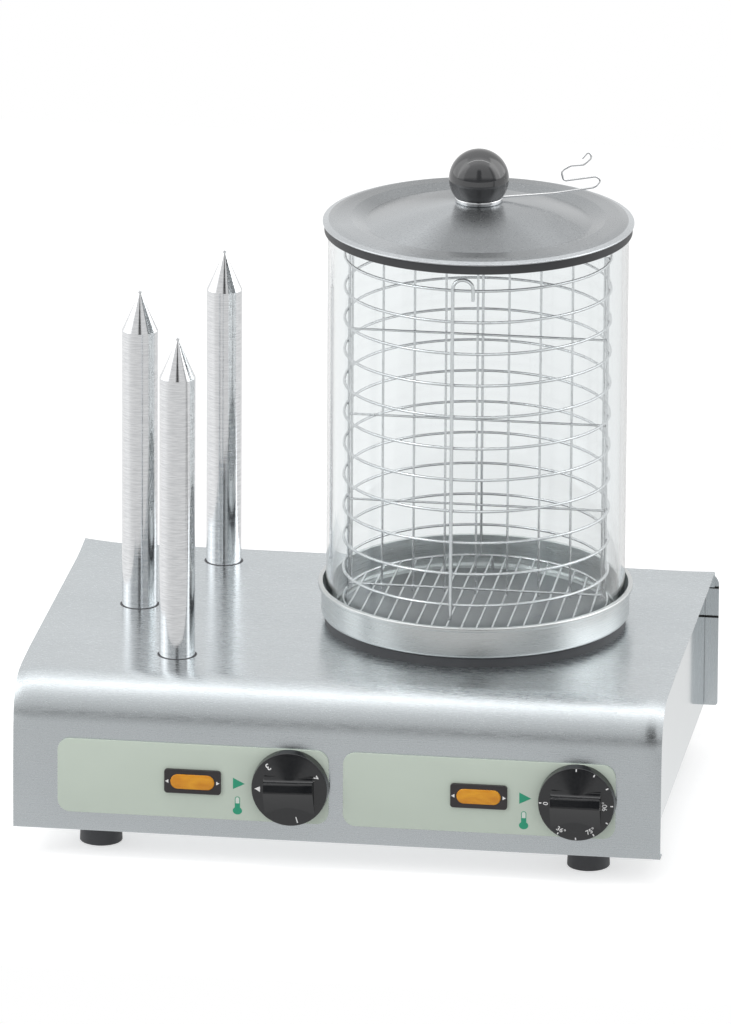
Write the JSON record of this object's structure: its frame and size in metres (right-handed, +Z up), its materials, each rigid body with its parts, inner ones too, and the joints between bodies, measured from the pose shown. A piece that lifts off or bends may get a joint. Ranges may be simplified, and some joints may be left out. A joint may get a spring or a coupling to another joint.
{
  "type": "hot dog steamer",
  "caption": "Countertop hot dog steamer: sheet steel housing with heated bun spikes, knobs and lamps, and a lidded glass cylinder with a wire basket in a water pan.",
  "frame": {"origin": "on the surface under the feet, below the middle of the machine", "axes": "+Z up, -Y towards the user at the control panel, +X to the user's right as they face it"},
  "size_m": [0.4376, 0.327, 0.4522],
  "materials": {
    "hood": "brushed",
    "left_side_wall": "brushed",
    "right_side_wall": "brushed",
    "rear_panel": "brushed",
    "base_tray": "mill",
    "front_left_foot": "matt",
    "front_right_foot": "matt",
    "rear_left_foot": "matt",
    "rear_right_foot": "matt",
    "foot_screws": "zinc plated",
    "foot_nuts": "zinc plated",
    "rear_panel_screws": "zinc plated",
    "left_control_plate": "satin",
    "left_lamp_bezel": "gloss",
    "left_lamp_lens": "translucent amber",
    "left_lamp_body": "matt",
    "left_knob": "gloss",
    "left_knob_shaft": "zinc plated",
    "right_control_plate": "satin",
    "right_lamp_bezel": "gloss",
    "right_lamp_lens": "translucent amber",
    "right_lamp_body": "matt",
    "right_knob": "gloss",
    "right_knob_shaft": "zinc plated",
    "power_regulator": "matt",
    "thermostat": "matt",
    "control_screws": "zinc plated",
    "seat_ring": "matt",
    "hot_plate": "machined",
    "heating_element": "oxidised",
    "heater_bridge": "zinc plated",
    "heater_studs": "zinc plated",
    "heater_nuts": "zinc plated",
    "thermostat_capillary": "drawn copper",
    "water_pan": "polished",
    "glass_cylinder": "clear",
    "lid_shell": "polished",
    "lid_seal": "matt",
    "lid_knob_collar": "polished",
    "lid_knob": "gloss",
    "lid_knob_screw": "zinc plated",
    "lid_wire": "polished",
    "basket_cage": "polished",
    "basket_floor": "polished",
    "basket_divider": "polished",
    "basket_feet": "polished",
    "basket_lifting_rod": "polished",
    "left_spike": "polished",
    "front_spike": "polished",
    "rear_spike": "polished",
    "spike_heaters": "plain",
    "spike_collars": "matt",
    "spike_nuts": "zinc plated",
    "spike_bracket": "zinc plated",
    "terminal_block": "matt",
    "cable_gland": "matt",
    "gland_nut": "matt"
  },
  "bodies": {
    "housing": {"hood": "hood", "left_side_wall": "left_side_wall", "right_side_wall": "right_side_wall", "rear_panel": "rear_panel", "base_tray": "base_tray", "front_left_foot": "front_left_foot", "front_right_foot": "front_right_foot", "rear_left_foot": "rear_left_foot", "rear_right_foot": "rear_right_foot", "foot_screws": "foot_screws", "foot_nuts": "foot_nuts", "rear_panel_screws": "rear_panel_screws", "left_control_plate": "left_control_plate", "left_lamp_bezel": "left_lamp_bezel", "left_lamp_lens": "left_lamp_lens", "left_lamp_body": "left_lamp_body", "right_control_plate": "right_control_plate", "right_lamp_bezel": "right_lamp_bezel", "right_lamp_lens": "right_lamp_lens", "right_lamp_body": "right_lamp_body", "power_regulator": "power_regulator", "thermostat": "thermostat", "control_screws": "control_screws", "seat_ring": "seat_ring", "hot_plate": "hot_plate", "heating_element": "heating_element", "heater_bridge": "heater_bridge", "heater_studs": "heater_studs", "heater_nuts": "heater_nuts", "thermostat_capillary": "thermostat_capillary", "left_spike": "left_spike", "front_spike": "front_spike", "rear_spike": "rear_spike", "spike_heaters": "spike_heaters", "spike_collars": "spike_collars", "spike_nuts": "spike_nuts", "spike_bracket": "spike_bracket", "terminal_block": "terminal_block", "cable_gland": "cable_gland", "gland_nut": "gland_nut"},
    "left_knob": {"left_knob": "left_knob", "left_knob_shaft": "left_knob_shaft"},
    "right_knob": {"right_knob": "right_knob", "right_knob_shaft": "right_knob_shaft"},
    "pan": {"water_pan": "water_pan"},
    "glass": {"glass_cylinder": "glass_cylinder"},
    "lid": {"lid_shell": "lid_shell", "lid_seal": "lid_seal", "lid_knob_collar": "lid_knob_collar", "lid_knob": "lid_knob", "lid_knob_screw": "lid_knob_screw", "lid_wire": "lid_wire"},
    "basket": {"basket_cage": "basket_cage", "basket_floor": "basket_floor", "basket_divider": "basket_divider", "basket_feet": "basket_feet", "basket_lifting_rod": "basket_lifting_rod"}
  },
  "joints": [
    {"name": "left_knob_turn", "type": "hinge", "parent": "housing", "child": "left_knob", "pos_m": [-0.03, -0.155, 0.0586], "axis": [0, 1, 0], "range_deg": [0, 315]},
    {"name": "right_knob_turn", "type": "hinge", "parent": "housing", "child": "right_knob", "pos_m": [0.1608, -0.155, 0.0586], "axis": [0, 1, 0], "range_deg": [0, 270]},
    {"name": "pan_lift", "type": "slide", "parent": "housing", "child": "pan", "axis": [0, 0, 1], "range_m": [0, 0.3]},
    {"name": "glass_lift", "type": "slide", "parent": "pan", "child": "glass", "axis": [0, 0, 1], "range_m": [0, 0.3]},
    {"name": "lid_lift", "type": "slide", "parent": "glass", "child": "lid", "axis": [0, 0, 1], "range_m": [0, 0.62]},
    {"name": "basket_lift", "type": "slide", "parent": "pan", "child": "basket", "axis": [0, 0, 1], "range_m": [0, 0.28]}
  ],
  "couplings": [
    {"joint": "basket_lift", "follows": "lid_lift", "ratio": 0.45}
  ]
}
